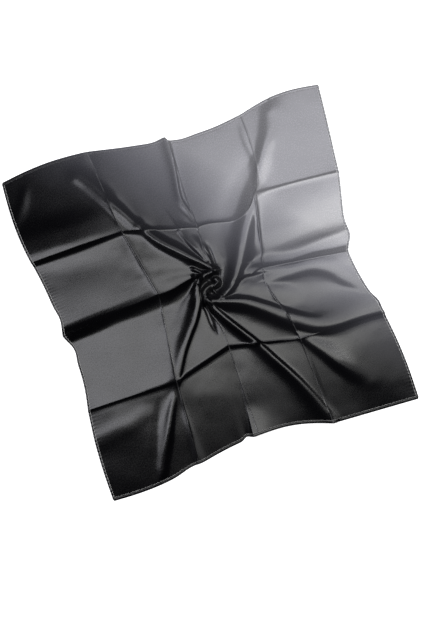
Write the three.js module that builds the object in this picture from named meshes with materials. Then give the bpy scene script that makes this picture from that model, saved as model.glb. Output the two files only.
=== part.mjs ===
// Square satin scarf laid on a flat surface, twisted at its middle.
// The cloth keeps the sixteen panels of its old creases, folds run out from the
// twist like the spokes of a wheel, and a hem goes round all four edges.
// Units are millimetres, +Z is up, and the surface it lies on is Z = 0.
import * as THREE from "three";

// Driving dimensions
const SIDE = 900; // the hemmed square of cloth, spread flat
const PANELS = 4; // old creases divide each side into four
const PANEL = SIDE / PANELS;
const SATIN_THICKNESS = 1;
const PIECE_GAP = 0.3; // clearance between the cloth and its hems
const ROLLED_HEM = { width: 5, thickness: 2.2, edgeThickness: 1.2, cells: 2 };
const FLAT_HEM = { width: 8, thickness: 1.5, edgeThickness: 1.5, cells: 1 };

// How finely the solids are faceted
const OUTER_CELLS = 8; // cells across an outer panel
const INNER_CELLS = 16; // cells across a panel beside the middle
const INNER_GROWTH = 1.06; // each cell is this much longer than the one nearer the middle
const PATH_STEPS = 6; // straight steps between two points of a fold's path

// How the cloth meets what it lies on
const SETTLE = 2; // heights this far under the surface are pressed flat onto it
const STEEPEST = 0.5; // least upward part of a normal that the thickness follows

// Crossings of the creases and the edges, one row per crease line, near edge first.
// Each crossing gives its place across and up the plan, and the cloth's lift there.
const CROSSINGS = [
  [[-403, -452, 0], [-167, -432, 1], [1, -406, 3], [193, -437, 2], [425, -445, 1]],
  [[-399, -215, 4], [-158, -213, 6], [-2, -168, 9], [181, -204, 9], [411, -207, 8]],
  [[-406, -11, 0], [-135, 10, 2], [4, -7, 8], [148, 3, 7], [374, -23, 5]],
  [[-429, 200, 1], [-178, 209, 4], [15, 159, 11], [188, 200, 11], [420, 186, 7]],
  [[-445, 434, 0], [-204, 447, 2], [10, 410, 4], [221, 419, 3], [448, 435, 1]],
];

// How far the middle of each panel stands over (or is pressed under) its corners,
// one row per row of panels, near edge first
const PANEL_RISE = [
  [1, 1.5, 3, 3],
  [-5, 0, 0, -5],
  [-4, 0, 0, 3],
  [-3, -2, 0, 0],
];

// How far each panel's outer side bows outwards, counted along the edge
const EDGE_BOWS = {
  near: [9, -4, -11, 0],
  far: [9.5, -2, -9, 16],
  left: [5, -13, -6, 8],
  right: [6, -6, 0, 1],
};

// Small waves of the outline: the place along the edge is counted in panels, out is
// how far the edge moves outwards, before and after are the half widths of the wave
const EDGE_WAVES = [
  { edge: "left", along: 1.8, out: -9, before: 32, after: 32 },
  { edge: "left", along: 2.22, out: -6, before: 30, after: 30 },
  { edge: "right", along: 2.2, out: 13, before: 32, after: 32 },
  { edge: "right", along: 1.2, out: 6, before: 24, after: 24 },
  { edge: "far", along: 1.985, out: 9, before: 26, after: 3 },
  { edge: "far", along: 2.18, out: -4, before: 34, after: 34 },
  { edge: "near", along: 0.9, out: -5, before: 30, after: 30 },
  { edge: "near", along: 1.82, out: -7, before: 14, after: 14 },
];
const EDGE_WAVE_DEPTH = 45; // how far into the cloth such a wave is felt

// Creases that bend off the straight between two crossings. panel says which panel
// along the crease, bend how far across or up the plan, and fullest where along it.
const CREASE_BENDS = [
  { runs: "crossing", line: 3, panel: 2, bend: -39, fullest: 0.68 },
  { runs: "upright", line: 3, panel: 3, bend: 18, fullest: 0.35 },
  { runs: "upright", line: 3, panel: 1, bend: -15, fullest: 0.75 },
];

// Old creases. Upright ones run from the near edge, crossing ones from the left edge.
// rises says how far the crease stands up at every half panel from its start, before
// and after are the widths of its two flanks.
const CREASES = [
  { runs: "upright", line: 1, rises: [0, 2, 1, 0, 1, 2, 1, 0, -3], before: 12, after: 12 },
  { runs: "upright", line: 3, rises: [0, -2, 0, 1, 0, 4, 1, 0, 0], before: 16, after: 8 },
  { runs: "crossing", line: 1, rises: [1.2, 1.2, 0.6, 0, 0, 0, 0, 0, 0], before: 4, after: 3 },
  { runs: "crossing", line: 1, rises: [0, 0, 2, 3, 3, 2, 1, 0, 0], before: 5, after: 8 },
  { runs: "crossing", line: 2, rises: [12, 6, 2, 0, 0, 0, 0, 0, 0], before: 32, after: 32 },
  { runs: "crossing", line: 2, rises: [0, 0, 6, 11, 0, 0, 0, 0, 0], before: 38, after: 12 },
  { runs: "crossing", line: 2, rises: [0, 0, 0, 0, 0, 0, 1.2, 1.2, 1], before: 3, after: 5 },
  { runs: "crossing", line: 3, rises: [6, 6, 4, 0, 0, 0, 0, 0, 0], before: 14, after: 300 },
  { runs: "crossing", line: 3, rises: [0, 0, 0, 2, 2, 2, 1, 0, 0], before: 5, after: 16 },
  { runs: "crossing", line: 3, rises: [0, 0, 0, 0, 0, 0, 1, 2, 2], before: 16, after: 3 },
];

// Folds, named by the clock seen from above. The path runs outwards from the twist.
// rise is the crest's height at its start, middle and end; left and right are the
// widths of its two flanks at the same places, seen along the path.
const FOLDS = [
  {
    name: "one_oclock",
    path: [[22, -38], [46, -25], [68, -1], [100, 50], [130, 112], [160, 160], [192, 206]],
    rise: [18, 15, 5], left: [14, 22, 14], right: [9, 22, 24],
  },
  {
    name: "one_oclock_tail",
    path: [[188, 198], [213, 251], [232, 285], [250, 315], [272, 352], [292, 400]],
    rise: [6, 8, 4], left: [6, 9, 14], right: [14, 24, 32],
  },
  {
    name: "half_past_noon",
    path: [[214, 263], [216, 294], [210, 350], [213, 410]],
    rise: [2, 1.6, 0], left: [7, 7, 7], right: [4, 5, 5],
  },
  {
    name: "half_past_one",
    path: [[215, 160], [261, 159], [349, 160], [435, 158]],
    rise: [0, 3, 4], left: [40, 40, 40], right: [46, 56, 60],
  },
  {
    name: "two_oclock",
    path: [[67, -7], [100, 0], [152, -4], [230, -18], [300, -30], [400, -34]],
    rise: [8, 4, 3], left: [16, 40, 50], right: [6, 14, 30],
  },
  {
    name: "three_oclock",
    path: [[150, -30], [190, -29], [267, -32], [314, -56], [346, -94], [383, -131]],
    rise: [5, 7, 4], left: [30, 36, 30], right: [18, 20, 13],
  },
  {
    name: "four_oclock",
    path: [
      [18, 10], [20, -2], [-5, -4], [-20, -15], [-15, -37], [10, -47], [72, -69],
      [118, -100], [163, -136], [219, -175], [254, -189], [290, -194], [324, -195],
      [372, -198], [412, -202],
    ],
    rise: [22, 12, 8], left: [7, 20, 60], right: [7, 24, 7],
  },
  {
    name: "half_past_three",
    path: [[50, -24], [95, -38], [141, -62], [190, -92], [240, -122]],
    rise: [7, 6, 0], left: [20, 28, 28], right: [26, 34, 34],
  },
  {
    name: "half_past_four",
    path: [[184, -200], [225, -254], [264, -311], [312, -366]],
    rise: [5, 9, 1], left: [20, 27, 24], right: [7, 9, 12],
  },
  {
    name: "five_oclock",
    path: [[-19, -34], [4, -79], [26, -114], [73, -181], [100, -227], [148, -311], [202, -430]],
    rise: [15, 10, 6], left: [5, 3.5, 5], right: [10, 16, 26],
  },
  {
    name: "six_oclock_lap",
    path: [[2, -175], [1, -253], [-16, -455]],
    rise: [0, 2, 15], left: [40, 50, 66], right: [3, 3, 4],
  },
  {
    name: "half_past_six_streak",
    path: [[-170, -275], [-168, -350], [-164, -436]],
    rise: [0, 3, 5], left: [12, 14, 14], right: [5, 5, 6],
  },
  {
    name: "seven_oclock",
    path: [
      [24, 30], [-8, 26], [-32, 2], [-40, -33], [-64, -75], [-90, -108], [-118, -147],
      [-156, -214],
    ],
    rise: [18, 7, 5], left: [6, 5, 5], right: [10, 20, 20],
  },
  {
    name: "seven_oclock_tail",
    path: [[-162, -222], [-176, -252], [-192, -282], [-220, -344], [-258, -420]],
    rise: [3, 8, 5], left: [4, 4, 4], right: [8, 14, 18],
  },
  {
    name: "eight_oclock_wave",
    path: [[-430, -300], [-355, -292], [-282, -276], [-222, -250]],
    rise: [2, 2, 0], left: [26, 24, 14], right: [22, 20, 16],
  },
  {
    name: "nine_oclock_tuck",
    path: [[-29, 13], [-34, 32], [-31, 48]],
    rise: [10, 7, 0], left: [3, 3, 4], right: [4, 4, 4],
  },
  {
    name: "far_left_ridge",
    path: [[-470, 236], [-306, 240], [-200, 238], [-130, 232]],
    rise: [8, 8, 1], left: [55, 55, 50], right: [40, 38, 30],
  },
  {
    name: "ten_oclock_tuck",
    path: [[-6, 34], [-22, 50], [-39, 67]],
    rise: [10, 7, 0], left: [4, 4, 5], right: [4, 4, 5],
  },
  {
    name: "ten_oclock",
    path: [[24, 32], [-4, 62], [-44, 100], [-96, 154], [-132, 210]],
    rise: [16, 13, 8], left: [7, 8, 9], right: [8, 18, 16],
  },
  {
    name: "ten_oclock_tail",
    path: [[-132, 210], [-174, 273], [-201, 322], [-223, 361], [-246, 391]],
    rise: [8, 11, 8], left: [18, 18, 18], right: [12, 20, 18],
  },
  {
    name: "far_left_corner",
    path: [[-384, 430], [-401, 372], [-436, 309]],
    rise: [0, 4, 2], left: [8, 10, 12], right: [8, 10, 12],
  },
  {
    name: "eleven_oclock",
    path: [[25, 33], [17, 53], [1, 90], [-15, 127], [-28, 164]],
    rise: [14, 12, 5], left: [7, 9, 9], right: [9, 24, 30],
  },
  {
    name: "noon_pleat",
    path: [[15, 158], [8, 200], [-4, 250], [6, 330], [10, 412]],
    rise: [3, 7, 7], left: [9, 10, 12], right: [4, 4, 5],
  },
  {
    name: "twist_tongue",
    path: [[3, -8], [9, -24], [22, -38]],
    rise: [14, 13, 14], left: [3, 3, 3], right: [3, 3, 3],
  },
];
const SHOULDER = 3; // folds have flat tops and join as a power mean with this power

// Valleys pressed down between the folds, with rise as the depth
const VALLEYS = [
  {
    name: "ten_oclock_valley",
    path: [[-192, 436], [-195, 384], [-187, 318], [-158, 276], [-129, 214], [-100, 190]],
    rise: [1, 1.5, 2], left: [12, 12, 12], right: [8, 8, 7],
  },
  {
    name: "seven_oclock_foot",
    path: [[-190, -235], [-218, -251], [-240, -300], [-262, -362], [-281, -422]],
    rise: [0, 2, 2], left: [6, 8, 8], right: [4, 4, 4],
  },
  {
    name: "seven_oclock_dart",
    path: [[-30, -48], [-27, -64], [-25, -100], [-18, -135]],
    rise: [10, 8, 0], left: [5, 6, 4], right: [5, 6, 4],
  },
  {
    name: "noon_dart",
    path: [[30, 41], [28, 78], [25, 121]],
    rise: [8, 7, 0], left: [4, 5, 4], right: [4, 5, 4],
  },
  {
    name: "before_noon_groove",
    path: [[13, 62], [10, 91], [16, 138]],
    rise: [2, 1.5, 1], left: [3, 3, 3], right: [3, 3, 3],
  },
  {
    name: "two_oclock_hollow",
    path: [[140, 24], [176, 20], [235, 10], [307, 11], [400, 8]],
    rise: [5, 9, 10], left: [26, 31, 32], right: [20, 20, 22],
  },
  {
    name: "half_past_noon_shade",
    path: [[52, 60], [80, 117], [140, 209], [186, 262]],
    rise: [0, 5, 4], left: [40, 40, 36], right: [24, 30, 26],
  },
  {
    name: "four_oclock_groove",
    path: [[53, -31], [104, -66], [155, -101], [206, -139], [247, -163], [292, -178]],
    rise: [0, 1.2, 0], left: [4, 5, 6], right: [4, 5, 6],
  },
];

// The twist at the middle: its hollow, and the turn of the cloth round its eye
const TWIST = { eye: [4, -7], height: -7, radius: 42, turn: -70, reach: 60 };

// Finish, from the dark corner to the pale one
const DARK_SATIN = new THREE.Color(0x2b2b30);
const PALE_SATIN = new THREE.Color(0xa6a5aa);
const MIDDLE_SATIN = DARK_SATIN.clone().lerp(PALE_SATIN, 0.3);
const SATIN_ROUGHNESS = 0.36;

// Small helpers
const mix = (a, b, t) => a + (b - a) * t;
const bump = (distance, width) => Math.exp(-((distance / width) ** 2));
const panelOf = (place) => Math.min(Math.max(Math.floor(place), 0), PANELS - 1);
const throughThree = ([start, middle, end], share) =>
  share < 0.5
    ? mix(start, middle, THREE.MathUtils.smoothstep(share, 0, 0.5))
    : mix(middle, end, THREE.MathUtils.smoothstep(share, 0.5, 1));

// A smooth path through the points of a fold, with the length run at each step
function smoothPath(points) {
  const curve = new THREE.CatmullRomCurve3(
    points.map(([x, y]) => new THREE.Vector3(x, y, 0)),
    false,
    "catmullrom",
    0.5,
  );
  const places = curve.getPoints((points.length - 1) * PATH_STEPS);
  const run = [0];
  for (let i = 1; i < places.length; i += 1) {
    run.push(run[i - 1] + places[i].distanceTo(places[i - 1]));
  }
  return { places, run };
}

const withPath = (fold) => ({ ...fold, ...smoothPath(fold.path) });
const FOLD_PATHS = FOLDS.map(withPath);
const VALLEY_PATHS = VALLEYS.map(withPath);

// The nearest place of a path to a point: its distance, how far along, and its side
function nearestOnPath({ places, run }, x, y) {
  const nearest = { distance: Infinity, along: 0, side: 0 };
  for (let i = 1; i < places.length; i += 1) {
    const start = places[i - 1];
    const dx = places[i].x - start.x;
    const dy = places[i].y - start.y;
    const length = run[i] - run[i - 1];
    const share = ((x - start.x) * dx + (y - start.y) * dy) / (length * length);
    const t = Math.min(Math.max(share, 0), 1);
    const offX = x - start.x - t * dx;
    const offY = y - start.y - t * dy;
    const distance = Math.hypot(offX, offY);
    if (distance < nearest.distance) {
      nearest.distance = distance;
      nearest.along = (run[i - 1] + t * length) / run[run.length - 1];
      nearest.side = dx * offY - dy * offX;
    }
  }
  return nearest;
}

// Height of one fold over a point of the plan
function foldHeight(fold, x, y) {
  const { distance, along, side } = nearestOnPath(fold, x, y);
  const width = throughThree(side > 0 ? fold.left : fold.right, along);
  return throughThree(fold.rise, along) / (1 + (distance / width) ** SHOULDER);
}

// Height that the creases add at a point of the flat square
function creaseHeight(u, v) {
  let height = 0;
  for (const crease of CREASES) {
    const [across, along] = crease.runs === "upright" ? [u, v] : [v, u];
    const offset = (across - crease.line) * PANEL;
    const station = Math.min(Math.max(2 * along, 0), crease.rises.length - 1);
    const from = Math.min(Math.floor(station), crease.rises.length - 2);
    const rise = mix(crease.rises[from], crease.rises[from + 1], station - from);
    const width = offset < 0 ? crease.before : crease.after;
    height += rise * Math.max(1 - Math.abs(offset) / width, 0) ** 2;
  }
  return height;
}

// How far the outline moves outwards at a place along an edge, felt inwards by depth
function edgeShift(edge, along, inward) {
  const panel = panelOf(along);
  const bow = EDGE_BOWS[edge][panel] * Math.sin(Math.PI * (along - panel));
  let shift = bow * Math.max(1 - inward, 0);
  for (const wave of EDGE_WAVES) {
    if (wave.edge === edge) {
      const felt = Math.exp((-inward * PANEL) / EDGE_WAVE_DEPTH);
      const offset = (along - wave.along) * PANEL;
      shift += wave.out * felt * bump(offset, offset < 0 ? wave.before : wave.after);
    }
  }
  return shift;
}

// How far the bent creases move a point across and up the plan
function creaseBend(u, v) {
  const shift = { upright: 0, crossing: 0 };
  for (const { runs, line, panel, bend, fullest } of CREASE_BENDS) {
    const [across, along] = runs === "upright" ? [u, v] : [v, u];
    const share = Math.min(Math.max(along - panel, 0), 1) ** (Math.log(0.5) / Math.log(fullest));
    shift[runs] += bend * Math.sin(Math.PI * share) * Math.max(1 - Math.abs(across - line), 0);
  }
  return shift;
}

// The cloth's place for a point (u, v) of the flat square, both counted in panels
function clothPlace(u, v) {
  const column = panelOf(u);
  const row = panelOf(v);
  const s = u - column;
  const t = v - row;
  const corner = (k) =>
    mix(
      mix(CROSSINGS[row][column][k], CROSSINGS[row][column + 1][k], s),
      mix(CROSSINGS[row + 1][column][k], CROSSINGS[row + 1][column + 1][k], s),
      t,
    );
  const bend = creaseBend(u, v);
  const sideways = edgeShift("right", v, PANELS - u) - edgeShift("left", v, u);
  const lengthways = edgeShift("far", u, PANELS - v) - edgeShift("near", u, v);
  const flatX = corner(0) + sideways + bend.upright;
  const flatY = corner(1) + lengthways + bend.crossing;

  const fromEyeX = flatX - TWIST.eye[0];
  const fromEyeY = flatY - TWIST.eye[1];
  const turn =
    THREE.MathUtils.degToRad(TWIST.turn) *
    bump(Math.hypot(fromEyeX, fromEyeY), TWIST.reach);
  const x = fromEyeX * Math.cos(turn) - fromEyeY * Math.sin(turn) + TWIST.eye[0];
  const y = fromEyeX * Math.sin(turn) + fromEyeY * Math.cos(turn) + TWIST.eye[1];

  let height = corner(2);
  height += PANEL_RISE[row][column] * Math.sin(Math.PI * s) * Math.sin(Math.PI * t);
  height += creaseHeight(u, v);
  height += TWIST.height * bump(Math.hypot(x - TWIST.eye[0], y - TWIST.eye[1]), TWIST.radius);
  for (const valley of VALLEY_PATHS) height -= foldHeight(valley, x, y);
  const folds = FOLD_PATHS.reduce((sum, fold) => sum + foldHeight(fold, x, y) ** SHOULDER, 0);
  return new THREE.Vector3(x, y, settle(height + folds ** (1 / SHOULDER)));
}

// Heights under the surface are pressed onto it, with a smooth change to the free cloth
function settle(height) {
  if (height <= -SETTLE) return 0;
  if (height >= SETTLE) return height;
  return (height + SETTLE) ** 2 / (4 * SETTLE);
}

// The upward part of the cloth's normal, no less than STEEPEST
function uprightness(u, v) {
  const step = 0.004;
  const across = clothPlace(u + step, v).sub(clothPlace(u - step, v));
  const along = clothPlace(u, v + step).sub(clothPlace(u, v - step));
  return Math.max(across.cross(along).normalize().z, STEEPEST);
}

// A closed wall over a grid of lines: the underside follows the cloth, and the top
// stands over it by the thickness, measured square to the cloth
function clothSolid(columns, rows, thicknessAt) {
  const wide = columns.length;
  const count = wide * rows.length;
  const underside = [];
  const top = [];
  for (const v of rows) {
    for (const u of columns) {
      const place = clothPlace(u, v);
      const thickness = thicknessAt(u, v);
      const bottom = Math.max(place.z - (thickness - SATIN_THICKNESS) / 2, 0);
      underside.push(place.x, place.y, bottom);
      top.push(place.x, place.y, bottom + thickness / uprightness(u, v));
    }
  }

  const faces = [];
  const at = (i, j) => j * wide + i;
  for (let j = 0; j < rows.length - 1; j += 1) {
    for (let i = 0; i < wide - 1; i += 1) {
      const ring = [at(i, j), at(i + 1, j), at(i + 1, j + 1), at(i, j + 1)];
      const heights = ring.map((k) => underside[3 * k + 2]);
      const middle = clothPlace(
        (columns[i] + columns[i + 1]) / 2,
        (rows[j] + rows[j + 1]) / 2,
      ).z;
      const firstMiss = Math.abs((heights[0] + heights[2]) / 2 - middle);
      const secondMiss = Math.abs((heights[1] + heights[3]) / 2 - middle);
      const [a, b, c, d] = firstMiss <= secondMiss ? ring : [...ring.slice(1), ring[0]];
      faces.push(count + a, count + b, count + c, count + a, count + c, count + d);
      faces.push(a, c, b, a, d, c);
    }
  }

  const rim = [];
  for (let i = 0; i < wide - 1; i += 1) rim.push(at(i, 0));
  for (let j = 0; j < rows.length - 1; j += 1) rim.push(at(wide - 1, j));
  for (let i = wide - 1; i > 0; i -= 1) rim.push(at(i, rows.length - 1));
  for (let j = rows.length - 1; j > 0; j -= 1) rim.push(at(0, j));
  rim.forEach((a, k) => {
    const b = rim[(k + 1) % rim.length];
    faces.push(a, b, count + b, a, count + b, count + a);
  });

  const geometry = new THREE.BufferGeometry();
  geometry.setAttribute("position", new THREE.Float32BufferAttribute([...underside, ...top], 3));
  geometry.setIndex(faces);
  geometry.computeVertexNormals();
  return geometry;
}

// Lines of one outer panel and of one inner panel, counted from the edge inwards
function halfLines(start) {
  const lines = [start];
  for (let i = 1; i <= OUTER_CELLS; i += 1) lines.push(i / OUTER_CELLS);
  const first = (INNER_GROWTH - 1) / (INNER_GROWTH ** INNER_CELLS - 1);
  let place = 2;
  const inner = [place];
  for (let i = 0; i < INNER_CELLS - 1; i += 1) {
    place -= first * INNER_GROWTH ** i;
    inner.unshift(place);
  }
  return [...lines, ...inner];
}

// All the lines from one edge to the other, starting and ending at the given insets
function gridLines(inset) {
  const half = halfLines(inset);
  const mirrored = half.slice(0, -1).map((place) => PANELS - place);
  return [...half, ...mirrored.reverse()];
}

// Lines across a hem, from one place to another
function hemLines(from, to, cells) {
  return Array.from({ length: cells + 1 }, (_, i) => mix(from, to, i / cells));
}

// The hem's thickness for its place across, thinner at its two sides when rolled
function hemThickness(hem, across, from, to) {
  const share = (across - from) / (to - from);
  return mix(hem.edgeThickness, hem.thickness, Math.sin(Math.PI * share));
}

function namedMesh(name, geometry, color) {
  const material = new THREE.MeshStandardMaterial({
    color,
    roughness: SATIN_ROUGHNESS,
    metalness: 0,
  });
  const mesh = new THREE.Mesh(geometry, material);
  mesh.name = name;
  return mesh;
}

// The cloth inside its hems
function satinSquare() {
  const columns = gridLines((ROLLED_HEM.width + PIECE_GAP) / PANEL);
  const rows = gridLines((FLAT_HEM.width + PIECE_GAP) / PANEL);
  const geometry = clothSolid(columns, rows, () => SATIN_THICKNESS);
  return namedMesh("satin_square", geometry, MIDDLE_SATIN);
}

// The rolled hem of the left or the right edge, between the two flat hems
function rolledHem(name, outer, inner, color) {
  const rows = gridLines((FLAT_HEM.width + PIECE_GAP) / PANEL);
  const columns = hemLines(Math.min(outer, inner), Math.max(outer, inner), ROLLED_HEM.cells);
  const thickness = (u) => hemThickness(ROLLED_HEM, u, outer, inner);
  return namedMesh(name, clothSolid(columns, rows, thickness), color);
}

// The flat hem of the near or the far edge, corner to corner
function flatHem(name, outer, inner, color) {
  const columns = gridLines(0);
  const rows = hemLines(Math.min(outer, inner), Math.max(outer, inner), FLAT_HEM.cells);
  return namedMesh(name, clothSolid(columns, rows, () => FLAT_HEM.thickness), color);
}

const scarf = new THREE.Group();
const rolledWidth = ROLLED_HEM.width / PANEL;
const flatWidth = FLAT_HEM.width / PANEL;
scarf.add(satinSquare());
scarf.add(rolledHem("hem_left", 0, rolledWidth, DARK_SATIN));
scarf.add(rolledHem("hem_right", PANELS, PANELS - rolledWidth, PALE_SATIN));
scarf.add(flatHem("hem_near", 0, flatWidth, DARK_SATIN));
scarf.add(flatHem("hem_far", PANELS, PANELS - flatWidth, PALE_SATIN));

export default scarf;
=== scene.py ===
import math

import bpy
import numpy as np
from bpy.props import FloatProperty, FloatVectorProperty, IntProperty, PointerProperty
from mathutils import Matrix, Vector


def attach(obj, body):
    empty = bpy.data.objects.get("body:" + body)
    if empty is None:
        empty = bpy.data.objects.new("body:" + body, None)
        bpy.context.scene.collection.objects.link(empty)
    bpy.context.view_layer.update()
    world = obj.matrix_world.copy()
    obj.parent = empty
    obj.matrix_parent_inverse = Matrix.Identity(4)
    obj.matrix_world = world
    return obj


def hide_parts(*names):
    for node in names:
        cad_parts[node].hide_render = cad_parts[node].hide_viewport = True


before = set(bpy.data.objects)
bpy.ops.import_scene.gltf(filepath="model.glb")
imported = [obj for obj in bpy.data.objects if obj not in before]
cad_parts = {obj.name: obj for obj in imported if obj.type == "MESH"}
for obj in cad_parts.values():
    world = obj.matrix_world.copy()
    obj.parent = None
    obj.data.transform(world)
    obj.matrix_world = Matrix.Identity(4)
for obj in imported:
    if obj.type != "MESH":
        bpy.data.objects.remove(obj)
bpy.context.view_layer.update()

bl_info = {
    "name": "Twisted satin scarf",
    "version": (1, 0, 0),
    "blender": (4, 5, 0),
    "location": "View3D > Sidebar > Scarf",
    "description": "Builds a square satin scarf laid flat with a twisted middle",
    "category": "Object",
}

# One millimetre, in metres
MM = 0.001

# The cloth as cut, its panels, and the clear space between two pieces
SIDE = 900
PANELS = 4
PANEL = SIDE / PANELS
PIECE_GAP = 0.3

# The twist: its middle, the depth and radius of its hollow, and how many degrees it
# turns the cloth, and within what reach
TWIST = {"eye": (4, -7), "height": -7, "radius": 42, "turn": -70, "reach": 60}

# How a fold is worked out: straight steps between two points of its path, the power
# by which its flanks fall away and joins other folds, and its reach in flank widths
PATH_STEPS = 6
SHOULDER = 3
FOLD_REACH = 6

# How the cloth lies: how deep into it a wave of the outline is felt, how softly it
# meets the floor, the least upward part of its normal, and the step, in panels,
# over which that normal is measured
EDGE_WAVE_DEPTH = 45
SETTLE = 2
STEEPEST = 0.5
NORMAL_STEP = 0.004

# Crossings of the creases and the edges, one row per crease line, near edge first.
# Each gives its place across and up the plan, and the cloth's lift there.
CROSSINGS = np.array([
    [[-403, -452, 0], [-167, -432, 1], [1, -406, 3], [193, -437, 2], [425, -445, 1]],
    [[-399, -215, 4], [-158, -213, 6], [-2, -168, 9], [181, -204, 9], [411, -207, 8]],
    [[-406, -11, 0], [-135, 10, 2], [4, -7, 8], [148, 3, 7], [374, -23, 5]],
    [[-429, 200, 1], [-178, 209, 4], [15, 159, 11], [188, 200, 11], [420, 186, 7]],
    [[-445, 434, 0], [-204, 447, 2], [10, 410, 4], [221, 419, 3], [448, 435, 1]],
], dtype=float)

# How far the middle of each panel stands over its corners, near row first
PANEL_RISE = np.array([
    [1, 1.5, 3, 3],
    [-5, 0, 0, -5],
    [-4, 0, 0, 3],
    [-3, -2, 0, 0],
], dtype=float)

# How far each panel's outer side bows outwards, counted along the edge
EDGE_BOWS = {
    "near": (9, -4, -11, 0),
    "far": (9.5, -2, -9, 16),
    "left": (5, -13, -6, 8),
    "right": (6, -6, 0, 1),
}

# Small waves of the outline: edge, place along it in panels, how far outwards,
# and the wave's half width before and after that place
EDGE_WAVES = (
    ("left", 1.8, -9, 32, 32),
    ("left", 2.22, -6, 30, 30),
    ("right", 2.2, 13, 32, 32),
    ("right", 1.2, 6, 24, 24),
    ("far", 1.985, 9, 26, 3),
    ("far", 2.18, -4, 34, 34),
    ("near", 0.9, -5, 30, 30),
    ("near", 1.82, -7, 14, 14),
)

# Creases that bend off the straight between two crossings: direction, line, panel
# along it, how far up or across the plan, and where along the panel it is fullest
CREASE_BENDS = (
    ("crossing", 3, 2, -39, 0.68),
    ("upright", 3, 3, 18, 0.35),
    ("upright", 3, 1, -15, 0.75),
)

# Old creases: direction, line, how far it stands up at every half panel from its
# start, and the width of its flank before and after the line
CREASES = (
    ("upright", 1, (0, 2, 1, 0, 1, 2, 1, 0, -3), 12, 12),
    ("upright", 3, (0, -2, 0, 1, 0, 4, 1, 0, 0), 16, 8),
    ("crossing", 1, (1.2, 1.2, 0.6, 0, 0, 0, 0, 0, 0), 4, 3),
    ("crossing", 1, (0, 0, 2, 3, 3, 2, 1, 0, 0), 5, 8),
    ("crossing", 2, (12, 6, 2, 0, 0, 0, 0, 0, 0), 32, 32),
    ("crossing", 2, (0, 0, 6, 11, 0, 0, 0, 0, 0), 38, 12),
    ("crossing", 2, (0, 0, 0, 0, 0, 0, 1.2, 1.2, 1), 3, 5),
    ("crossing", 3, (6, 6, 4, 0, 0, 0, 0, 0, 0), 14, 300),
    ("crossing", 3, (0, 0, 0, 2, 2, 2, 1, 0, 0), 5, 16),
    ("crossing", 3, (0, 0, 0, 0, 0, 0, 1, 2, 2), 16, 3),
)

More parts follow.
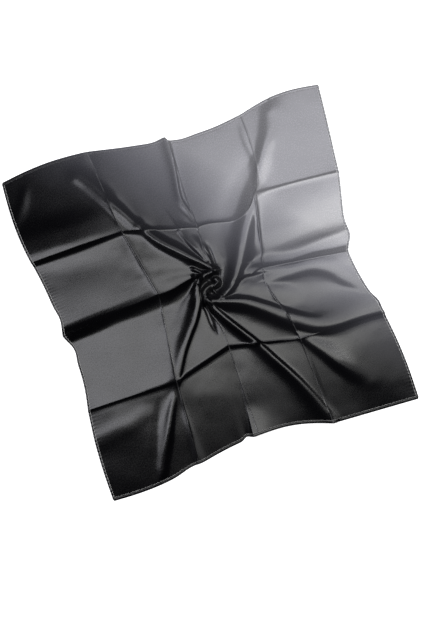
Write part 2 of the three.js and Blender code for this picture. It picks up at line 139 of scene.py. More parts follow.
# Folds, named by the clock seen from above, each path running outwards: its points,
# then the crest's rise and the left and right flank widths at start, middle and end
FOLDS = (
    ("one_oclock",
     ((22, -38), (46, -25), (68, -1), (100, 50), (130, 112), (160, 160), (192, 206)),
     (18, 15, 5), (14, 22, 14), (9, 22, 24)),
    ("one_oclock_tail",
     ((188, 198), (213, 251), (232, 285), (250, 315), (272, 352), (292, 400)),
     (6, 8, 4), (6, 9, 14), (14, 24, 32)),
    ("half_past_noon",
     ((214, 263), (216, 294), (210, 350), (213, 410)),
     (2, 1.6, 0), (7, 7, 7), (4, 5, 5)),
    ("half_past_one",
     ((215, 160), (261, 159), (349, 160), (435, 158)),
     (0, 3, 4), (40, 40, 40), (46, 56, 60)),
    ("two_oclock",
     ((67, -7), (100, 0), (152, -4), (230, -18), (300, -30), (400, -34)),
     (8, 4, 3), (16, 40, 50), (6, 14, 30)),
    ("three_oclock",
     ((150, -30), (190, -29), (267, -32), (314, -56), (346, -94), (383, -131)),
     (5, 7, 4), (30, 36, 30), (18, 20, 13)),
    ("four_oclock",
     ((18, 10), (20, -2), (-5, -4), (-20, -15), (-15, -37), (10, -47), (72, -69),
      (118, -100), (163, -136), (219, -175), (254, -189), (290, -194), (324, -195),
      (372, -198), (412, -202)),
     (22, 12, 8), (7, 20, 60), (7, 24, 7)),
    ("half_past_three",
     ((50, -24), (95, -38), (141, -62), (190, -92), (240, -122)),
     (7, 6, 0), (20, 28, 28), (26, 34, 34)),
    ("half_past_four",
     ((184, -200), (225, -254), (264, -311), (312, -366)),
     (5, 9, 1), (20, 27, 24), (7, 9, 12)),
    ("five_oclock",
     ((-19, -34), (4, -79), (26, -114), (73, -181), (100, -227), (148, -311), (202, -430)),
     (15, 10, 6), (5, 3.5, 5), (10, 16, 26)),
    ("six_oclock_lap",
     ((2, -175), (1, -253), (-16, -455)),
     (0, 2, 15), (40, 50, 66), (3, 3, 4)),
    ("half_past_six_streak",
     ((-170, -275), (-168, -350), (-164, -436)),
     (0, 3, 5), (12, 14, 14), (5, 5, 6)),
    ("seven_oclock",
     ((24, 30), (-8, 26), (-32, 2), (-40, -33), (-64, -75), (-90, -108), (-118, -147),
      (-156, -214)),
     (18, 7, 5), (6, 5, 5), (10, 20, 20)),
    ("seven_oclock_tail",
     ((-162, -222), (-176, -252), (-192, -282), (-220, -344), (-258, -420)),
     (3, 8, 5), (4, 4, 4), (8, 14, 18)),
    ("eight_oclock_wave",
     ((-430, -300), (-355, -292), (-282, -276), (-222, -250)),
     (2, 2, 0), (26, 24, 14), (22, 20, 16)),
    ("nine_oclock_tuck",
     ((-29, 13), (-34, 32), (-31, 48)),
     (10, 7, 0), (3, 3, 4), (4, 4, 4)),
    ("far_left_ridge",
     ((-470, 236), (-306, 240), (-200, 238), (-130, 232)),
     (8, 8, 1), (55, 55, 50), (40, 38, 30)),
    ("ten_oclock_tuck",
     ((-6, 34), (-22, 50), (-39, 67)),
     (10, 7, 0), (4, 4, 5), (4, 4, 5)),
    ("ten_oclock",
     ((24, 32), (-4, 62), (-44, 100), (-96, 154), (-132, 210)),
     (16, 13, 8), (7, 8, 9), (8, 18, 16)),
    ("ten_oclock_tail",
     ((-132, 210), (-174, 273), (-201, 322), (-223, 361), (-246, 391)),
     (8, 11, 8), (18, 18, 18), (12, 20, 18)),
    ("far_left_corner",
     ((-384, 430), (-401, 372), (-436, 309)),
     (0, 4, 2), (8, 10, 12), (8, 10, 12)),
    ("eleven_oclock",
     ((25, 33), (17, 53), (1, 90), (-15, 127), (-28, 164)),
     (14, 12, 5), (7, 9, 9), (9, 24, 30)),
    ("noon_pleat",
     ((15, 158), (8, 200), (-4, 250), (6, 330), (10, 412)),
     (3, 7, 7), (9, 10, 12), (4, 4, 5)),
    ("twist_tongue",
     ((3, -8), (9, -24), (22, -38)),
     (14, 13, 14), (3, 3, 3), (3, 3, 3)),
)

# Valleys between the folds, written the same way, with their depth as the rise
VALLEYS = (
    ("ten_oclock_valley",
     ((-192, 436), (-195, 384), (-187, 318), (-158, 276), (-129, 214), (-100, 190)),
     (1, 1.5, 2), (12, 12, 12), (8, 8, 7)),
    ("seven_oclock_foot",
     ((-190, -235), (-218, -251), (-240, -300), (-262, -362), (-281, -422)),
     (0, 2, 2), (6, 8, 8), (4, 4, 4)),
    ("seven_oclock_dart",
     ((-30, -48), (-27, -64), (-25, -100), (-18, -135)),
     (10, 8, 0), (5, 6, 4), (5, 6, 4)),
    ("noon_dart",
     ((30, 41), (28, 78), (25, 121)),
     (8, 7, 0), (4, 5, 4), (4, 5, 4)),
    ("before_noon_groove",
     ((13, 62), (10, 91), (16, 138)),
     (2, 1.5, 1), (3, 3, 3), (3, 3, 3)),
    ("two_oclock_hollow",
     ((140, 24), (176, 20), (235, 10), (307, 11), (400, 8)),
     (5, 9, 10), (26, 31, 32), (20, 20, 22)),
    ("half_past_noon_shade",
     ((52, 60), (80, 117), (140, 209), (186, 262)),
     (0, 5, 4), (40, 40, 36), (24, 30, 26)),
    ("four_oclock_groove",
     ((53, -31), (104, -66), (155, -101), (206, -139), (247, -163), (292, -178)),
     (0, 1.2, 0), (4, 5, 6), (4, 5, 6)),
)

# Faint relief of the satin: wave length, height and seed of each set of ripples
RIPPLES = ((150, 0.3, 11), (60, 0.07, 12), (24, 0.02, 13))
RIPPLE_WAVES = 14
RIPPLE_SPREAD = (0.6, 1.6)

# Pulls that run out from the twist: the number of the main ones and of those between,
# their height, how far out they reach, and how far the twist turns them
PULLS = {"main": 23, "between": 13, "height": 0.3, "reach": 150, "twist": 2.2}

# The sharp line that pressing leaves along an upright crease, and the lines of the
# mesh that follow it, by their distance from the crease
PRESSED_RIDGE = {"height": 1, "width": 1.6}
CREASE_LINES = (-2.4, -0.8, 0.8, 2.4)

# The hems. A rolled one loses a share of its thickness, its pinch, at each stitch. A
# flat one's profile gives its place across, from the edge inwards, and its lift.
ROLLED_HEM = {"width": 5, "thickness": 2.2, "pinch": 0.32, "sides": 12, "steps": 6}
FLAT_HEM_PROFILE = (
    (0.4, 0), (0, 0.4), (0.05, 1.05), (0.5, 1.45), (5.4, 1.4), (6.1, 1.15),
    (6.8, 1.4), (7.6, 1.4), (8, 1.05), (8, 0),
)
HEMS = {"rolled_hem": ("left", "right"), "flat_hem": ("near", "far")}
FLAT_HEM_WIDTH = 8
FLAT_HEM_STEP = 3
CORNER_RADIUS = 4

# Where the cloth starts beside the rolled hems and beside the flat ones, in panels
ROLLED_INSET = (ROLLED_HEM["width"] + PIECE_GAP) / PANEL
FLAT_INSET = (FLAT_HEM_WIDTH + PIECE_GAP) / PANEL

# An overcast stitch leans along the hem by its slant, runs from one share of the
# hem's width to another, and rises to a share of its thickness. A running stitch
# arches over the seam of a flat hem. The ends of both taper to a share of the thread.
OVERCAST = {"slant": 3.2, "start": 0.04, "end": 1.14, "rise": 0.72, "points": 7}
RUNNING = {"length": 3, "inset": 6.1, "lift": 1.15, "arch": 0.28, "points": 4}
THREAD_SIDES = 6
THREAD_END = 0.35

# Dye along the diagonal from the dark corner: place, and tone from dark to pale. Its
# places are shifted by faint clouds.
DYE_STOPS = (
    (0, 0), (0.46, 0.001), (0.52, 0.012), (0.575, 0.09), (0.63, 0.26),
    (0.69, 0.6), (0.76, 0.95), (1, 1),
)
DYE_CLOUDS = {"scale": 9, "octaves": 3, "size": 0.02}

# Noise of the satin weave: scale across and along the cut, octaves, and how much of
# it goes into the weave's height
WEAVE = (
    ("floats", (1500, 420, 1), 1, 0.25),
    ("grain", (330, 250, 1), 3, 1),
    ("slubs", (40, 260, 1), 2, 0.2),
)

# The weave's gloss: how strongly the grain counts beside the clouds, the clouds'
# noise, and how far both move the gloss. Then how far the grain moves the shade.
WEAVE_GLOSS = {"grain": 3, "scale": 14, "octaves": 4, "size": 0.12}
WEAVE_SHADE = 0.2

# Patches along the upright creases that are painted paler, partly as wear and partly as painted
# highlight, and how sharply they stand out
WEAR_AND_HIGHLIGHT = {"scale": 30, "octaves": 4, "least": 0.42, "contrast": 4}

# The satin: how pale the creases are painted, as wear and as painted highlight, how much
# evener the gloss of the pale end is, how a crease changes the roughness, how much the
# gloss shows in the lustre, and the strength of the plain reflection
SATIN = {"wear_and_highlight": 0.13, "even": 0.85, "crease": -0.06, "glint": 1.5, "specular": 0.3}

# The two satins: the depth of their weave, and whether stitches gather their edges
SATINS = {"shaded_satin": (0.018, True), "hem_satin": (0.012, False)}
PUCKER = {"height": 0.07, "reach": 9}

# The thread: the scale and depth of its twist, and, for its shade and its roughness,
# how far the twist moves them and from where
THREAD = {"scale": (2600, 2600, 1), "depth": 0.05, "shade": (0.4, 0.8), "rough": (0.2, 0.4)}

# The camera stands nearly over the scarf, turned so that the far edge climbs right.
# Its angles are in degrees.
CAMERA = {
    "turn": 17.8, "tilt": 5.5, "distance": 1700, "aim": (-22.5, -74.5),
    "lens": 37.02, "sensor": 36,
}

# Lights, placed in metres from the aim point to the right, up and above in the
# camera's view: name, place, place aimed at, width, depth, power in watts, and how
# cool its white is
LIGHTS = (
    ("side_light", (1.75, 1.05, 2.6), (1.75, 1.05, 0), 0.5, 1, 22, 0),
    ("far_panel", (0.7, 1.4, 2.6), (0.7, 1.4, 0), 1.9, 1.35, 30.5, 0.04),
    ("left_strip", (-1.399, -0.177, 2.6), (-1.399, -0.177, 0), 1.85, 0.8, 38, 0.07),
    ("right_strip", (0.681, 0.448, 2.6), (0.681, 0.448, 0), 2.55, 0.9, 40, -0.03),
    ("low_panel", (1, -0.2, 2.6), (1, -0.2, 0), 1.15, 0.52, 4.8, 0),
    ("fill_light", (-2.6, -1.3, 2.2), (0, 0, 0), 2.2, 2.2, 3, 0.2),
)

# The floor: how far it lies under the cloth, how mottled it is, and its paint
WHITE = (1, 1, 1, 1)
FLOOR_DROP = 0.4
FLOOR_MOTTLE = 0.02
FLOOR_PAINT = {
    "Roughness": 0.9, "Specular IOR Level": 0.1, "Emission Color": WHITE,
    "Emission Strength": 0.6,
}


# Settings

COLOUR = {"subtype": "COLOR", "size": 3, "min": 0, "max": 1}


class ScarfSizes(bpy.types.PropertyGroup):
    """Sizes of the modelled cloth"""

    thickness: FloatProperty(
        name="Cloth thickness",
        description="Thickness of the satin wall",
        default=1 * MM, min=0.0002, unit="LENGTH",
    )
    lines: IntProperty(
        name="Grid lines",
        description="Lines of the cloth's mesh from edge to edge",
        default=204, min=40, max=206,
    )
    crowding: FloatProperty(
        name="Middle spacing",
        description="Spacing of the lines at the twist, as a share of the mean",
        default=0.5, min=0.2, max=1, subtype="FACTOR",
    )


class ScarfSewing(bpy.types.PropertyGroup):
    """Sizes of the stitches"""

    overcast_pitch: FloatProperty(
        name="Overcast pitch",
        description="Distance between two stitches over a rolled hem",
        default=9 * MM, min=0.004, unit="LENGTH",
    )
    overcast_thread: FloatProperty(
        name="Overcast thread",
        description="Radius of the thread over the rolled hems",
        default=0.28 * MM, min=0.0001, unit="LENGTH",
    )
    running_pitch: FloatProperty(
        name="Running pitch",
        description="Distance between two stitches along a flat hem",
        default=4.4 * MM, min=0.0035, unit="LENGTH",
    )
    running_thread: FloatProperty(
        name="Running thread",
        description="Radius of the thread along the flat hems",
        default=0.22 * MM, min=0.0001, unit="LENGTH",
    )


class ScarfFinish(bpy.types.PropertyGroup):
    """Colours and gloss of the satin and its thread"""

    dark: FloatVectorProperty(
        name="Dark dye",
        description="Colour of the dark corner",
        default=(0.0011, 0.0011, 0.0015), **COLOUR,
    )
    pale: FloatVectorProperty(
        name="Pale dye",
        description="Colour of the pale corner",
        default=(0.206, 0.205, 0.217), **COLOUR,
    )
    cool: FloatVectorProperty(
        name="Cool dye",
        description="Tint where the dark dye runs into the pale one",
        default=(0.055, 0.057, 0.088), **COLOUR,
    )
    roughness: FloatProperty(
        name="Satin roughness",
        description="Roughness of the satin's float side",
        default=0.27, min=0.05, max=1, subtype="FACTOR",
    )
    lustre: FloatProperty(
        name="Satin lustre",
        description="How far the pale satin takes its own colour into its gloss",
        default=0.26, min=0, max=1, subtype="FACTOR",
    )
    float_stretch: FloatProperty(
        name="Float stretch",
        description="How far the floats stretch the gloss across themselves",
        default=0.8, min=0, max=1, subtype="FACTOR",
    )
    thread_dark: FloatVectorProperty(
        name="Dark thread",
        description="Colour of the thread at the dark edges",
        default=(0.004, 0.004, 0.005), **COLOUR,
    )
    thread_pale: FloatVectorProperty(
        name="Pale thread",
        description="Colour of the thread at the pale edges",
        default=(0.62, 0.62, 0.64), **COLOUR,
    )


class ScarfStage(bpy.types.PropertyGroup):
    """The floor and the light"""

    floor: FloatVectorProperty(
        name="Floor",
        description="Colour of the floor",
        default=(0.9, 0.9, 0.9), **COLOUR,
    )
    floor_side: FloatProperty(
        name="Floor side",
        description="Length of each side of the floor",
        default=12, min=2, unit="LENGTH",
    )
    sky: FloatProperty(
        name="Even light",
        description="Strength of the even light from all round",
        default=0.006, min=0, max=2,
    )
    backdrop: FloatProperty(
        name="Backdrop",
        description="Brightness of the backdrop behind the floor",
        default=0.8, min=0, max=2,
    )


def millimetres(length):
    """A setting's length in millimetres, without the error of its short storage."""
    return round(length / MM, 6)


# The cloth's form

def smooth_step(share):
    return share * share * (3 - 2 * share)


def through_three(values, share):
    """Passes smoothly through values at the start, the middle and the end."""
    start, middle, end = values
    first = start + (middle - start) * smooth_step(2 * share)
    second = middle + (end - middle) * smooth_step(2 * share - 1)
    return np.where(share < 0.5, first, second)


def smooth_path(points):
    """Catmull-Rom curve through the points, as straight steps."""
    held = np.array(points, dtype=float)
    held = np.vstack([2 * held[0] - held[1], held, 2 * held[-1] - held[-2]])
    places = []
    for a, b, c, d in zip(held, held[1:], held[2:], held[3:]):
        slope = c - a
        square = 2 * a - 5 * b + 4 * c - d
        cubic = 3 * b - a - 3 * c + d
        for t in np.arange(PATH_STEPS) / PATH_STEPS:
            places.append(b + 0.5 * (slope * t + square * t**2 + cubic * t**3))
    places.append(np.array(points[-1], dtype=float))
    return np.array(places)


def nearest_on_path(places, x, y):
    """Distance from a path, share of its length and side of it, for points of the plan.

    The side is above zero on the left of a path's direction.
    """
    steps = np.diff(places, axis=0)
    lengths = np.hypot(steps[:, 0], steps[:, 1])
    runs = np.concatenate([[0], np.cumsum(lengths)])
    distance = np.full(x.shape, np.inf)
    along = np.zeros(x.shape)
    side = np.zeros(x.shape)
    for place, (dx, dy), length, run in zip(places, steps, lengths, runs):
        share = ((x - place[0]) * dx + (y - place[1]) * dy) / length**2
        share = np.clip(share, 0, 1)
        off_x = x - place[0] - share * dx
        off_y = y - place[1] - share * dy
        here = np.hypot(off_x, off_y)
        closer = here < distance
        distance = np.where(closer, here, distance)
        along = np.where(closer, (run + share * length) / runs[-1], along)
        side = np.where(closer, dx * off_y - dy * off_x, side)
    return distance, along, side


def fold_height(row, x, y):
    """Height of one fold over the points of the plan."""
    _, points, rises, lefts, rights = row
    places = smooth_path(points)
    reach = FOLD_REACH * max(lefts + rights)
    low = places.min(axis=0) - reach
    high = places.max(axis=0) + reach
    near = (x > low[0]) & (x < high[0]) & (y > low[1]) & (y < high[1])
    distance, along, side = nearest_on_path(places, x[near], y[near])
    width = np.where(side > 0, through_three(lefts, along), through_three(rights, along))
    height = np.zeros(x.shape)
    height[near] = through_three(rises, along) / (1 + (distance / width) ** SHOULDER)
    return height


def crease_height(u, v):
    """Height of the old creases over points of the flat square."""
    height = np.zeros(u.shape)
    for direction, line, rises, before, after in CREASES:
        across, along = (u, v) if direction == "upright" else (v, u)
        offset = (across - line) * PANEL
        rise = np.interp(along, np.arange(len(rises)) / 2, rises)
        felt = np.maximum(1 - np.abs(offset) / np.where(offset < 0, before, after), 0)
        height += rise * felt**2
    return height


def edge_shift(edge, along, inward):
    """How far the outline moves outwards, felt into the cloth by depth."""
    panel = np.clip(along.astype(int), 0, PANELS - 1)
    bow = np.array(EDGE_BOWS[edge], dtype=float)[panel]
    shift = bow * np.sin(np.pi * (along - panel)) * np.maximum(1 - inward, 0)
    felt = np.exp(-inward * PANEL / EDGE_WAVE_DEPTH)
    for name, place, out, before, after in EDGE_WAVES:
        if name == edge:
            offset = (along - place) * PANEL
            width = np.where(offset < 0, before, after)
            shift = shift + out * felt * np.exp(-((offset / width) ** 2))
    return shift


def twisted(x, y):
    """Turns points of the plan round the eye of the twist, less the further out."""
    eye_x, eye_y = TWIST["eye"]
    from_x, from_y = x - eye_x, y - eye_y
    felt = np.exp(-(from_x**2 + from_y**2) / TWIST["reach"] ** 2)
    turn = math.radians(TWIST["turn"]) * felt
    turned_x = from_x * np.cos(turn) - from_y * np.sin(turn) + eye_x
    turned_y = from_x * np.sin(turn) + from_y * np.cos(turn) + eye_y
    return turned_x, turned_y


def cloth_plan(u, v):
    """Place in the plan, and lift, of points of the flat square, counted in panels."""
    column = np.clip(u.astype(int), 0, PANELS - 1)
    row = np.clip(v.astype(int), 0, PANELS - 1)
    s = (u - column)[..., None]
    t = (v - row)[..., None]
    corner = (
        CROSSINGS[row, column] * (1 - s) * (1 - t)
        + CROSSINGS[row, column + 1] * s * (1 - t)
        + CROSSINGS[row + 1, column] * (1 - s) * t
        + CROSSINGS[row + 1, column + 1] * s * t
    )
    x = corner[..., 0] + edge_shift("right", v, PANELS - u) - edge_shift("left", v, u)
    y = corner[..., 1] + edge_shift("far", u, PANELS - v) - edge_shift("near", u, v)
    for direction, line, panel, bend, fullest in CREASE_BENDS:
        across, along = (u, v) if direction == "upright" else (v, u)
        share = np.clip(along - panel, 0, 1) ** (math.log(0.5) / math.log(fullest))
        shift = bend * np.sin(np.pi * share) * np.maximum(1 - np.abs(across - line), 0)
        x = x + shift * (direction == "upright")
        y = y + shift * (direction == "crossing")
    crown = np.sin(np.pi * s[..., 0]) * np.sin(np.pi * t[..., 0])
    lift = corner[..., 2] + PANEL_RISE[row, column] * crown
    return *twisted(x, y), lift


def settled(height):
    """Heights under the floor are pressed onto it, with a smooth change."""
    eased = (height + SETTLE) ** 2 / (4 * SETTLE)
    return np.where(height <= -SETTLE, 0, np.where(height >= SETTLE, height, eased))


def ripple_height(x, y, wave_length, seed):
    """Uneven waves in all directions, the same in each run."""
    draw = np.random.default_rng(seed)
    total = np.zeros(x.shape)
    for _ in range(RIPPLE_WAVES):
        heading = draw.uniform(0, 2 * math.pi)
        number = 2 * math.pi / (wave_length * draw.uniform(*RIPPLE_SPREAD))
        phase = draw.uniform(0, 2 * math.pi)
        total += np.sin(number * (x * math.cos(heading) + y * math.sin(heading)) + phase)
    return total / math.sqrt(RIPPLE_WAVES)


def pull_height(x, y):
    """Faint straight pulls that run out from the twist."""
    from_x, from_y = x - TWIST["eye"][0], y - TWIST["eye"][1]
    away = np.hypot(from_x, from_y)
    angle = np.arctan2(from_y, from_x) + PULLS["twist"] * np.exp(-away / TWIST["reach"])
    waves = np.sin(PULLS["main"] * angle) + np.sin(PULLS["between"] * angle + 1)
    grown = 1 - np.exp(-((away / TWIST["radius"]) ** 2))
    return PULLS["height"] / 2 * waves * grown * np.exp(-away / PULLS["reach"])


def pressed_ridges(u):
    """The sharp line that pressing leaves along each upright crease."""
    offset = (u - np.round(u)) * PANEL
    inside = (u > 0.5) & (u < PANELS - 0.5)
    ridge = PRESSED_RIDGE["height"] * np.exp(-((offset / PRESSED_RIDGE["width"]) ** 2))
    return np.where(inside, ridge, 0)


def cloth_surface(u, v):
    """Underside of the cloth, in millimetres, as x, y and z."""
    x, y, height = cloth_plan(u, v)
    away = np.hypot(x - TWIST["eye"][0], y - TWIST["eye"][1])
    height = height + crease_height(u, v)
    height += TWIST["height"] * np.exp(-((away / TWIST["radius"]) ** 2))
    for row in VALLEYS:
        height -= fold_height(row, x, y)
    folds = sum(np.maximum(fold_height(row, x, y), 0) ** SHOULDER for row in FOLDS)
    height += folds ** (1 / SHOULDER)
    for wave_length, size, seed in RIPPLES:
        height += size * ripple_height(x, y, wave_length, seed)
    height += pull_height(x, y)
    height += pressed_ridges(u)
    return x, y, settled(height)


def uprightness(u, v):
    """Upward part of the cloth's normal, no less than STEEPEST."""
    step = NORMAL_STEP
    across = np.subtract(cloth_surface(u + step, v), cloth_surface(u - step, v))
    along = np.subtract(cloth_surface(u, v + step), cloth_surface(u, v - step))
    normal = np.cross(across, along, axis=0)
    return np.maximum(normal[2] / np.linalg.norm(normal, axis=0), STEEPEST)


# Meshes

def grid_lines(count, crowding, inset):
    """Line places from edge to edge, closer at the middle and at each crease."""
    half = PANELS / 2
    share = np.linspace(-1, 1, count)
    places = half + half * (crowding * share + (1 - crowding) * share**3)
    places[0], places[-1] = inset, PANELS - inset
    extra = []
    for line in range(1, PANELS):
        places[np.argmin(np.abs(places - line))] = line
        extra += [line + aside / PANEL for aside in CREASE_LINES]
    return np.unique(np.concatenate([places, extra]))


def finish_mesh(name, points, faces, cut, material, sharp=None):
    """Makes a smooth mesh object with its place on the flat cut as its UV map.

    An edge is sharp where sharp is true at both of its ends.
    """
    mesh = bpy.data.meshes.new(name)
    mesh.from_pydata([tuple(p) for p in points * MM], [], faces)
    mesh.polygons.foreach_set("use_smooth", [True] * len(mesh.polygons))
    corners = np.empty(len(mesh.loops), dtype=int)
    mesh.loops.foreach_get("vertex_index", corners)
    mesh.uv_layers.new(name="cut").data.foreach_set("uv", cut[corners].ravel())
    if sharp is not None:
        ends = np.empty(2 * len(mesh.edges), dtype=int)
        mesh.edges.foreach_get("vertices", ends)
        first, second = ends.reshape(-1, 2).T
        marked = sharp[first] & sharp[second]
        edges = mesh.attributes.new("sharp_edge", "BOOLEAN", "EDGE")
        edges.data.foreach_set("value", marked)
    mesh.materials.append(material)
    piece = bpy.data.objects.new(name, mesh)
    bpy.context.scene.collection.objects.link(piece)
    return piece


def wall_mesh(name, u, v, below, above, material):
    """A closed wall between two grids of points, sharp at its rim and its creases."""
    rows, wide = u.shape
    count = rows * wide
    index = np.arange(count).reshape(rows, wide)
    quads = np.stack([index[:-1, :-1], index[:-1, 1:], index[1:, 1:], index[1:, :-1]], axis=-1)
    quads = quads.reshape(-1, 4)
    rim = np.concatenate([index[0, :-1], index[:-1, -1], index[-1, :0:-1], index[:0:-1, 0]])
    after = np.roll(rim, -1)
    sides = np.stack([rim, after, after + count, rim + count], axis=-1)
    faces = np.concatenate([quads + count, quads[:, ::-1], sides]).tolist()
    points = np.concatenate([below.reshape(-1, 3), above.reshape(-1, 3)])
    cut = np.tile(np.stack([u, v], axis=-1).reshape(-1, 2) / PANELS, (2, 1))
    sharp = np.tile(np.isin(v, range(1, PANELS)).ravel(), 2)
    sharp[rim] = True
    sharp[rim + count] = True
    return finish_mesh(name, points, faces, cut, material, sharp)


def tube_mesh(name, tubes, material):
    """Joins closed tubes. Each tube is an array of rings of points, and of their cuts."""
    points, cuts, faces = [], [], []
    start = 0
    for rings, ring_cuts in tubes:
        length, sides = rings.shape[:2]
        index = start + np.arange(length * sides).reshape(length, sides)
        turned = np.roll(index, -1, axis=1)
        quads = np.stack([index[:-1], turned[:-1], turned[1:], index[1:]], axis=-1)
        faces += quads.reshape(-1, 4).tolist()
        faces += [index[0, ::-1].tolist(), index[-1].tolist()]
        points.append(rings.reshape(-1, 3))
        cuts.append(ring_cuts.reshape(-1, 2))
        start += length * sides
    return finish_mesh(name, np.concatenate(points), faces, np.concatenate(cuts), material)


def hem_places(edge, along, across):
    """Places on the flat square, in panels, for places along an edge and across it.

    Those along are in panels, and those across in millimetres.
    """
    inward = across / PANEL
    if edge == "left":
        return inward, along
    if edge == "right":
        return PANELS - inward, along
    if edge == "near":
        return along, inward
    return along, PANELS - inward


def hem_rings(edge, along, across, lift):
    """Rings of points round a hem, and the same points on the cut.

    At two of the edges the order is turned, so that the faces look outwards.
    """
    u, v = hem_places(edge, along, across)
    x, y, z = cloth_surface(u, v)
    tall = lift / uprightness(u, v)
    rings = np.stack([x, y, z + tall], axis=-1)
    cuts = np.stack([u, v], axis=-1) / PANELS
    if edge in ("left", "far"):
        return rings[:, ::-1], cuts[:, ::-1]
    return rings, cuts


def stitch_places(pitch):
    """Middles of the stitches along an edge, in panels."""
    length = PANELS - 2 * FLAT_INSET
    count = int(length * PANEL / pitch)
    spare = length - count * pitch / PANEL
    return FLAT_INSET + spare / 2 + (np.arange(count) + 0.5) * pitch / PANEL


def thread_tube(path, cut, radius):
    """A thin tube with tapered ends round a path of points."""
    ahead = np.gradient(path, axis=0)
    ahead /= np.linalg.norm(ahead, axis=1, keepdims=True)
    side = np.cross(ahead, (0, 0, 1))
    side /= np.linalg.norm(side, axis=1, keepdims=True)
    top = np.cross(side, ahead)
    turn = np.arange(THREAD_SIDES) / THREAD_SIDES * 2 * math.pi
    # The ends are blunt, so that the swelling starts and stops inside its wave
    swell = np.sin(np.pi * np.linspace(0.12, 0.88, len(path)))
    taper = radius * (THREAD_END + (1 - THREAD_END) * swell)
    ring = np.cos(turn)[:, None, None] * side + np.sin(turn)[:, None, None] * top
    rings = path[:, None, :] + taper[:, None, None] * ring.transpose(1, 0, 2)
    return rings[:, ::-1], np.repeat(cut[:, None, :], THREAD_SIDES, axis=1)


def stitch_tubes(edge, along, across, lift, radius):
    """Threads over the cloth beside an edge, one for each row of places along it."""
    u, v = hem_places(edge, along, np.broadcast_to(across, along.shape))
    x, y, z = cloth_surface(u, v)
    paths = np.stack([x, y, z + lift], axis=-1)
    cuts = np.stack([u, v], axis=-1) / PANELS
    return [thread_tube(path, cut, radius) for path, cut in zip(paths, cuts)]


def overcast_stitches(edge, sewing):
    """Slanted stitches from the outer side of a rolled hem over onto the cloth."""
    thread = millimetres(sewing.overcast_thread)
    middles = stitch_places(millimetres(sewing.overcast_pitch))
    share = np.linspace(0, 1, OVERCAST["points"])
    along = middles[:, None] + OVERCAST["slant"] * (share - 0.5) / PANEL
    span = OVERCAST["end"] - OVERCAST["start"]
    across = ROLLED_HEM["width"] * (OVERCAST["start"] + span * share)
    # A broad arch, whose ends stand a little over the cloth
    arch = np.sin(math.pi * (share * 0.88 + 0.06)) ** 0.6
    lift = ROLLED_HEM["thickness"] * OVERCAST["rise"] * arch + thread
    return stitch_tubes(edge, along, across, lift, thread)


def running_stitches(edge, sewing):
    """Short stitches along the seam of a flat hem."""
    middles = stitch_places(millimetres(sewing.running_pitch))
    share = np.linspace(0, 1, RUNNING["points"])
    along = middles[:, None] + RUNNING["length"] * (share - 0.5) / PANEL
    lift = RUNNING["lift"] + RUNNING["arch"] * np.sin(math.pi * share)
    thread = millimetres(sewing.running_thread)
    return stitch_tubes(edge, along, RUNNING["inset"], lift, thread)


# Materials

class NodeDesk:
    """Adds and links nodes of one tree. A value may be a number or another node's socket."""

    def __init__(self, tree):
        self.tree = tree

    def add(self, kind, **settings):
        node = self.tree.nodes.new(kind)
        for key, value in settings.items():
            setattr(node, key, value)
        return node

    def feed(self, socket, value):
        if isinstance(value, bpy.types.NodeSocket):
            self.tree.links.new(value, socket)
        else:
            socket.default_value = value

    def math(self, operation, first, second=0.0, clamp=False):
        node = self.add("ShaderNodeMath", operation=operation, use_clamp=clamp)
        self.feed(node.inputs[0], first)
        self.feed(node.inputs[1], second)
        return node.outputs[0]

    def times(self, first, second, clamp=False):
        return self.math("MULTIPLY", first, second, clamp)

    def plus(self, first, second, clamp=False):
        return self.math("ADD", first, second, clamp)

    def minus(self, first, second):
        return self.math("SUBTRACT", first, second)

    def vector(self, operation, first, second):
        node = self.add("ShaderNodeVectorMath", operation=operation)
        self.feed(node.inputs[0], first)
        self.feed(node.inputs[1], second)
        return node.outputs["Value" if operation == "DOT_PRODUCT" else "Vector"]

    def noise(self, vector, scale, detail=2.0):
        node = self.add("ShaderNodeTexNoise")
        self.feed(node.inputs["Vector"], vector)
        node.inputs["Scale"].default_value = scale
        node.inputs["Detail"].default_value = detail
        return node.outputs["Fac"]

    def blend(self, share, first, second, kind="MIX"):
        node = self.add("ShaderNodeMix", data_type="RGBA", blend_type=kind)
        self.feed(node.inputs["Factor"], share)
        self.feed(node.inputs["A"], first)
        self.feed(node.inputs["B"], second)
        return node.outputs["Result"]

    def shaded(self, colour, shade):
        """A colour made lighter or darker by a plain value."""
        grey = self.add("ShaderNodeCombineColor")
        for socket in grey.inputs:
            self.feed(socket, shade)
        return self.blend(1.0, colour, grey.outputs["Color"], "MULTIPLY")

    def bump(self, height, distance):
        node = self.add("ShaderNodeBump")
        node.inputs["Distance"].default_value = distance
        self.feed(node.inputs["Height"], height)
        return node.outputs["Normal"]

    def parts(self, vector):
        node = self.add("ShaderNodeSeparateXYZ")
        self.feed(node.inputs[0], vector)
        return node.outputs

    def cut(self):
        """Place on the flat cut cloth, from 0 to 1 each way."""
        return self.add("ShaderNodeUVMap", uv_map="cut").outputs["UV"]


def node_group(name, inputs, outputs):
    """A shader node group with named sockets, and the desk and the two ends inside it."""
    tree = bpy.data.node_groups.new(name, "ShaderNodeTree")
    for in_out, sockets in (("INPUT", inputs), ("OUTPUT", outputs)):
        for socket, kind in sockets.items():
            tree.interface.new_socket(socket, in_out=in_out, socket_type=f"NodeSocket{kind}")
    desk = NodeDesk(tree)
    return tree, desk, desk.add("NodeGroupInput").outputs, desk.add("NodeGroupOutput").inputs


